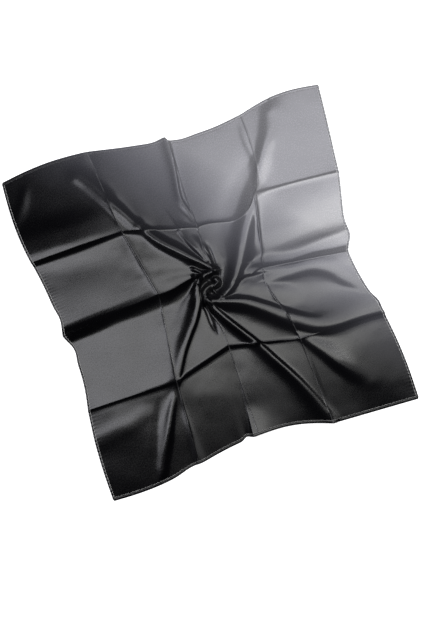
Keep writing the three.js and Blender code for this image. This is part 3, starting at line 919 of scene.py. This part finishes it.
def shaded_dye():
    """Shaded dye that runs from the dark corner to the pale one."""
    tree, desk, given, wanted = node_group(
        "shaded_dye",
        {"Cut": "Vector", "Dark": "Color", "Cool": "Color", "Pale": "Color"},
        {"Color": "Color", "Tone": "Float"},
    )
    diagonal = desk.vector("DOT_PRODUCT", given["Cut"], (0.5, 0.5, 0))
    cloud = desk.noise(given["Cut"], DYE_CLOUDS["scale"], DYE_CLOUDS["octaves"])
    cloud = desk.times(desk.minus(cloud, 0.5), DYE_CLOUDS["size"])
    place = desk.plus(diagonal, cloud)
    ramp = desk.add("ShaderNodeValToRGB")
    desk.feed(ramp.inputs["Fac"], place)
    stops = ramp.color_ramp.elements
    while len(stops) < len(DYE_STOPS):
        stops.new(1)
    for stop, (where, tone) in zip(stops, DYE_STOPS):
        stop.position = where
        stop.color = (tone, tone, tone, 1)
    # The ramp gives a grey, and this makes a plain value of it
    tone = desk.times(ramp.outputs["Color"], 1.0)
    cool_share = desk.times(tone, desk.minus(1.0, tone))
    dyed = desk.blend(tone, given["Dark"], given["Pale"])
    desk.feed(wanted["Color"], desk.blend(cool_share, dyed, given["Cool"]))
    desk.feed(wanted["Tone"], tone)
    return tree


def satin_weave():
    """Long floats of a satin weave, with uneven threads, as height, gloss and shade."""
    tree, desk, given, wanted = node_group(
        "satin_weave",
        {"Cut": "Vector", "Depth": "Float"},
        {"Height": "Float", "Gloss": "Float", "Shade": "Float"},
    )
    height = 0.0
    layers = {}
    for name, scale, octaves, share in WEAVE:
        stretched = desk.vector("MULTIPLY", given["Cut"], scale)
        layers[name] = desk.noise(stretched, 1.0, octaves)
        height = desk.plus(desk.times(layers[name], share), height)
    desk.feed(wanted["Height"], desk.times(height, given["Depth"]))
    grain = desk.minus(layers["grain"], 0.5)
    clouds = desk.noise(given["Cut"], WEAVE_GLOSS["scale"], WEAVE_GLOSS["octaves"])
    clouds = desk.minus(clouds, 0.5)
    uneven = desk.plus(desk.times(grain, WEAVE_GLOSS["grain"]), clouds)
    shade = desk.plus(desk.times(grain, WEAVE_SHADE), 1.0)
    desk.feed(wanted["Gloss"], desk.times(uneven, WEAVE_GLOSS["size"]))
    desk.feed(wanted["Shade"], shade)
    return tree


def pressed_lines():
    """Mask of the old creases, where the pressed cloth is worn smooth, and patches along the
    upright ones that are painted paler, partly as wear and partly as painted highlight.
    """
    tree, desk, given, wanted = node_group(
        "pressed_lines",
        {"Cut": "Vector", "Width": "Float"},
        {"Line": "Float", "Wear_and_highlight": "Float"},
    )
    masks = []
    for axis in desk.parts(given["Cut"])[:2]:
        panels = desk.times(axis, float(PANELS))
        nearest = desk.math("ROUND", panels)
        offset = desk.math("ABSOLUTE", desk.minus(panels, nearest))
        widths = desk.math("DIVIDE", offset, given["Width"])
        masks.append(desk.math("SUBTRACT", 1.0, widths, clamp=True))
    desk.feed(wanted["Line"], desk.math("MAXIMUM", masks[0], masks[1]))
    patches = desk.noise(given["Cut"], WEAR_AND_HIGHLIGHT["scale"], WEAR_AND_HIGHLIGHT["octaves"])
    patches = desk.minus(patches, WEAR_AND_HIGHLIGHT["least"])
    patches = desk.times(patches, WEAR_AND_HIGHLIGHT["contrast"], clamp=True)
    desk.feed(wanted["Wear_and_highlight"], desk.times(patches, masks[0]))
    return tree


def use_group(desk, maker, **values):
    """Adds a node group, which its maker makes once under the maker's own name."""
    tree = bpy.data.node_groups.get(maker.__name__) or maker()
    node = desk.add("ShaderNodeGroup", node_tree=tree)
    for socket, value in values.items():
        desk.feed(node.inputs[socket], value)
    return node.outputs


def opaque(colour):
    return (*colour, 1)


def new_material(name):
    """A material, with the desk and the shader of its node tree."""
    material = bpy.data.materials.new(name)
    material.use_nodes = True
    tree = material.node_tree
    return material, NodeDesk(tree), tree.nodes["Principled BSDF"]


def pucker_height(desk, cut, pitch):
    """Small gathers where the overcast stitches pull the two side edges."""
    across, along, _ = desk.parts(cut)
    edge = desk.math("MINIMUM", across, desk.minus(1.0, across))
    felt = desk.math("EXPONENT", desk.times(edge, -SIDE / PUCKER["reach"]))
    wave = desk.math("SINE", desk.times(along, 2 * math.pi * SIDE / pitch))
    return desk.times(desk.times(wave, felt), PUCKER["height"])


def satin_material(name, scene):
    """Satin with shaded dye: glossy along its floats, duller across them."""
    finish = scene.scarf_finish
    depth, puckered = SATINS[name]
    material, desk, shader = new_material(name)
    cut = desk.cut()
    dye = use_group(
        desk, shaded_dye, Cut=cut, Dark=opaque(finish.dark),
        Cool=opaque(finish.cool), Pale=opaque(finish.pale),
    )
    weave = use_group(desk, satin_weave, Cut=cut, Depth=depth)
    pressed = use_group(desk, pressed_lines, Cut=cut, Width=PRESSED_RIDGE["width"] / PANEL)
    woven = desk.shaded(dye["Color"], weave["Shade"])
    # Patches along the upright creases are painted paler: partly wear, partly painted highlight
    wear_and_highlight = desk.times(pressed["Wear_and_highlight"], SATIN["wear_and_highlight"])
    desk.feed(shader.inputs["Base Color"], desk.blend(wear_and_highlight, woven, opaque(finish.thread_pale)))
    uneven = desk.minus(1.0, desk.times(dye["Tone"], SATIN["even"]))
    rough = desk.times(weave["Gloss"], uneven)
    rough = desk.plus(rough, finish.roughness)
    pressed_gloss = desk.times(pressed["Line"], SATIN["crease"])
    desk.feed(shader.inputs["Roughness"], desk.plus(rough, pressed_gloss, clamp=True))
    height = weave["Height"]
    if puckered:
        pitch = millimetres(scene.scarf_sewing.overcast_pitch)
        height = desk.plus(height, pucker_height(desk, cut, pitch))
    desk.feed(shader.inputs["Normal"], desk.bump(height, MM))
    tangent = desk.add("ShaderNodeTangent", direction_type="UV_MAP", uv_map="cut")
    desk.feed(shader.inputs["Tangent"], tangent.outputs["Tangent"])
    glint = desk.times(weave["Gloss"], SATIN["glint"])
    lustre = desk.plus(dye["Tone"], glint)
    lustre = desk.times(lustre, finish.lustre, clamp=True)
    desk.feed(shader.inputs["Metallic"], lustre)
    shader.inputs["Anisotropic"].default_value = finish.float_stretch
    shader.inputs["Specular IOR Level"].default_value = SATIN["specular"]
    return material


def thread_material(name, scene):
    """Spun sewing thread, dark where the cloth is dark and pale where it is pale."""
    finish = scene.scarf_finish
    material, desk, shader = new_material(name)
    cut = desk.cut()
    dye = use_group(desk, shaded_dye, Cut=cut)
    colour = desk.blend(dye["Tone"], opaque(finish.thread_dark), opaque(finish.thread_pale))
    twist = desk.noise(desk.vector("MULTIPLY", cut, THREAD["scale"]), 1.0, 1)
    shade, rough = (
        desk.plus(desk.times(twist, share), start)
        for share, start in (THREAD["shade"], THREAD["rough"])
    )
    desk.feed(shader.inputs["Base Color"], desk.shaded(colour, shade))
    desk.feed(shader.inputs["Roughness"], rough)
    desk.feed(shader.inputs["Normal"], desk.bump(twist, THREAD["depth"] * MM))
    return material


def floor_material(name, scene):
    """Plain matt floor with the faintest mottle, and a little light of its own."""
    material, desk, shader = new_material(name)
    place = desk.add("ShaderNodeTexCoord").outputs["Object"]
    mottle = desk.times(desk.noise(place, 3), FLOOR_MOTTLE)
    colour = desk.blend(mottle, opaque(scene.scarf_stage.floor), WHITE)
    desk.feed(shader.inputs["Base Color"], colour)
    for socket, value in FLOOR_PAINT.items():
        shader.inputs[socket].default_value = value
    return material


def shared_material(name, maker, scene):
    return bpy.data.materials.get(name) or maker(name, scene)


# The stage

def view_axes():
    """Directions to the camera's right and, along the floor, up its picture."""
    turn = math.radians(CAMERA["turn"])
    right = Vector((math.cos(turn), -math.sin(turn), 0))
    up = Vector((math.sin(turn), math.cos(turn), 0))
    return right, up


def aim_point():
    return Vector((*CAMERA["aim"], 0)) * MM


def add_camera(scene):
    right, up = view_axes()
    tilt = math.radians(CAMERA["tilt"])
    ahead = up * math.sin(tilt) - Vector((0, 0, math.cos(tilt)))
    over = up * math.cos(tilt) + Vector((0, 0, math.sin(tilt)))
    place = aim_point() - ahead * CAMERA["distance"] * MM
    data = bpy.data.cameras.new("photo_camera")
    data.sensor_width = CAMERA["sensor"]
    data.lens = CAMERA["lens"]
    camera = bpy.data.objects.new("photo_camera", data)
    columns = [(*right, 0), (*over, 0), (*(-ahead), 0), (*place, 1)]
    camera.matrix_world = Matrix(columns).transposed()
    scene.collection.objects.link(camera)
    scene.camera = camera


def add_lights(scene):
    right, up = view_axes()

    def spot(place):
        return aim_point() + right * place[0] + up * place[1] + Vector((0, 0, place[2]))

    for name, place, target, width, depth, power, coolness in LIGHTS:
        data = bpy.data.lights.new(name, "AREA")
        data.shape = "RECTANGLE"
        data.size = width
        data.size_y = depth
        data.energy = power
        data.color = (1 - coolness, 1 - coolness, 1)
        light = bpy.data.objects.new(name, data)
        light.location = spot(place)
        light.rotation_euler = (spot(target) - spot(place)).to_track_quat("-Z", "Y").to_euler()
        scene.collection.objects.link(light)


def studio_world(name, even_light, backdrop):
    """Faint even light from all round, in front of a pale backdrop that lights nothing."""
    world = bpy.data.worlds.new(name)
    world.use_nodes = True
    desk = NodeDesk(world.node_tree)
    lighting = world.node_tree.nodes["Background"]
    backdrop_paint = desk.add("ShaderNodeBackground")
    for background, strength in ((lighting, even_light), (backdrop_paint, backdrop)):
        background.inputs["Color"].default_value = WHITE
        background.inputs["Strength"].default_value = strength
    chosen = desk.add("ShaderNodeMixShader")
    desk.feed(chosen.inputs[0], desk.add("ShaderNodeLightPath").outputs["Is Camera Ray"])
    desk.feed(chosen.inputs[1], lighting.outputs["Background"])
    desk.feed(chosen.inputs[2], backdrop_paint.outputs["Background"])
    desk.feed(world.node_tree.nodes["World Output"].inputs["Surface"], chosen.outputs["Shader"])
    return world


def add_floor(scene):
    half = scene.scarf_stage.floor_side / 2
    corners = [
        (x * half, y * half, -FLOOR_DROP * MM)
        for x, y in ((-1, -1), (1, -1), (1, 1), (-1, 1))
    ]
    mesh = bpy.data.meshes.new("floor")
    mesh.from_pydata(corners, [], [(0, 1, 2, 3)])
    mesh.materials.append(shared_material("floor_paint", floor_material, scene))
    floor = bpy.data.objects.new("floor", mesh)
    scene.collection.objects.link(floor)


# The steps that build the scene

def add_hem(kind, edge, tube, scene):
    """Makes one hem of the hem satin from its tube of rings."""
    material = shared_material("hem_satin", satin_material, scene)
    piece = tube_mesh(f"{kind}_{edge}", [tube], material)
    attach(piece, "root")
    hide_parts(f"hem_{edge}")


class SCARF_OT_stage(bpy.types.Operator):
    """Adds the floor, the lights and the camera"""

    bl_idname = "scarf.stage"
    bl_label = "Stage"

    def execute(self, context):
        scene = context.scene
        stage = scene.scarf_stage
        add_camera(scene)
        add_lights(scene)
        scene.view_settings.view_transform = "Standard"
        scene.world = studio_world("even_light", stage.sky, stage.backdrop)
        add_floor(scene)
        return {"FINISHED"}


class SCARF_OT_cloth(bpy.types.Operator):
    """Builds the satin square with its creases, folds and twist"""

    bl_idname = "scarf.cloth"
    bl_label = "Satin square"

    def execute(self, context):
        sizes = context.scene.scarf_sizes
        columns = grid_lines(sizes.lines, sizes.crowding, ROLLED_INSET)
        rows = grid_lines(sizes.lines, sizes.crowding, FLAT_INSET)
        u, v = np.meshgrid(columns, rows)
        x, y, z = cloth_surface(u, v)
        tall = millimetres(sizes.thickness) / uprightness(u, v)
        below = np.stack([x, y, z], axis=-1)
        above = np.stack([x, y, z + tall], axis=-1)
        material = shared_material("shaded_satin", satin_material, context.scene)
        piece = wall_mesh("satin_cloth", u, v, below, above, material)
        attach(piece, "root")
        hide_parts("satin_square")
        return {"FINISHED"}


class SCARF_OT_rolled_hems(bpy.types.Operator):
    """Builds the two rolled hems, pinched in at each of their stitches"""

    bl_idname = "scarf.rolled_hems"
    bl_label = "Rolled hems"

    def execute(self, context):
        pitch = millimetres(context.scene.scarf_sewing.overcast_pitch)
        middles = stitch_places(pitch)
        steps = len(middles) * ROLLED_HEM["steps"]
        places = np.linspace(FLAT_INSET, PANELS - FLAT_INSET, steps + 1)
        phase = (places - middles[0]) * PANEL / pitch
        squeeze = (0.5 + 0.5 * np.cos(2 * math.pi * phase)) ** 4
        # A pinch takes its whole share of the hem's height, and less of its width
        fullness = (1 - ROLLED_HEM["pinch"] * squeeze)[:, None]
        turn = np.arange(ROLLED_HEM["sides"]) / ROLLED_HEM["sides"] * 2 * math.pi
        across = ROLLED_HEM["width"] * (0.5 - 0.5 * np.cos(turn) * (0.6 + 0.4 * fullness))
        lift = ROLLED_HEM["thickness"] * fullness * (0.5 - 0.5 * np.sin(turn))
        along = np.repeat(places[:, None], len(turn), axis=1)
        for edge in HEMS["rolled_hem"]:
            rings, cuts = hem_rings(edge, along, across, lift)
            # This profile runs round the other way than a flat hem's
            add_hem("rolled_hem", edge, (rings[:, ::-1], cuts[:, ::-1]), context.scene)
        return {"FINISHED"}


class SCARF_OT_flat_hems(bpy.types.Operator):
    """Builds the two flat hems, folded at the edge and dented along their seam"""

    bl_idname = "scarf.flat_hems"
    bl_label = "Flat hems"

    def execute(self, context):
        across, lift = np.array(FLAT_HEM_PROFILE, dtype=float).T
        places = np.linspace(0, PANELS, int(SIDE / FLAT_HEM_STEP) + 1)
        along = np.repeat(places[:, None], len(across), axis=1)
        past = np.maximum(CORNER_RADIUS - across, 0)
        inset = (CORNER_RADIUS - np.sqrt(CORNER_RADIUS**2 - past**2)) / PANEL
        along = np.clip(along, inset, PANELS - inset)
        across = np.broadcast_to(across, along.shape)
        for edge in HEMS["flat_hem"]:
            add_hem("flat_hem", edge, hem_rings(edge, along, across, lift), context.scene)
        return {"FINISHED"}


class SCARF_OT_stitches(bpy.types.Operator):
    """Sews overcast stitches round the rolled hems and running ones along the flat hems"""

    bl_idname = "scarf.stitches"
    bl_label = "Stitches"

    def execute(self, context):
        sewing = context.scene.scarf_sewing
        thread = shared_material("thread", thread_material, context.scene)
        for kind, sew in (("rolled_hem", overcast_stitches), ("flat_hem", running_stitches)):
            for edge in HEMS[kind]:
                piece = tube_mesh(f"stitches_{edge}", sew(edge, sewing), thread)
                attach(piece, "root")
        return {"FINISHED"}


class SCARF_OT_declare(bpy.types.Operator):
    bl_idname = "scarf.declare"
    bl_label = "Declare the sheet"

    def execute(self, context):
        edging = [f"{kind}_{edge}" for kind, edges in HEMS.items() for edge in edges]
        edging += [f"stitches_{edge}" for edges in HEMS.values() for edge in edges]
        return {"FINISHED"}


class SCARF_PT_panel(bpy.types.Panel):
    """Lists the scarf's settings and the steps that build it"""

    bl_idname = "SCARF_PT_panel"
    bl_label = "Twisted satin scarf"
    bl_space_type = "VIEW_3D"
    bl_region_type = "UI"
    bl_category = "Scarf"

    def draw(self, context):
        for name, group in GROUPS.items():
            for setting in group.__annotations__:
                self.layout.prop(getattr(context.scene, name), setting)
        for step in STEPS:
            self.layout.operator(step.bl_idname)


GROUPS = {
    "scarf_sizes": ScarfSizes,
    "scarf_sewing": ScarfSewing,
    "scarf_finish": ScarfFinish,
    "scarf_stage": ScarfStage,
}
STEPS = (
    SCARF_OT_stage, SCARF_OT_cloth, SCARF_OT_rolled_hems, SCARF_OT_flat_hems,
    SCARF_OT_stitches, SCARF_OT_declare,
)
CLASSES = (*GROUPS.values(), *STEPS, SCARF_PT_panel)


def register():
    for cls in CLASSES:
        bpy.utils.register_class(cls)
    for name, group in GROUPS.items():
        setattr(bpy.types.Scene, name, PointerProperty(type=group))


def unregister():
    for name in reversed(GROUPS):
        delattr(bpy.types.Scene, name)
    for cls in reversed(CLASSES):
        bpy.utils.unregister_class(cls)


def main():
    register()
    bpy.ops.scarf.stage()
    bpy.ops.scarf.cloth()
    bpy.ops.scarf.rolled_hems()
    bpy.ops.scarf.flat_hems()
    bpy.ops.scarf.stitches()
    bpy.ops.scarf.declare()


if __name__ == "__main__":
    main()
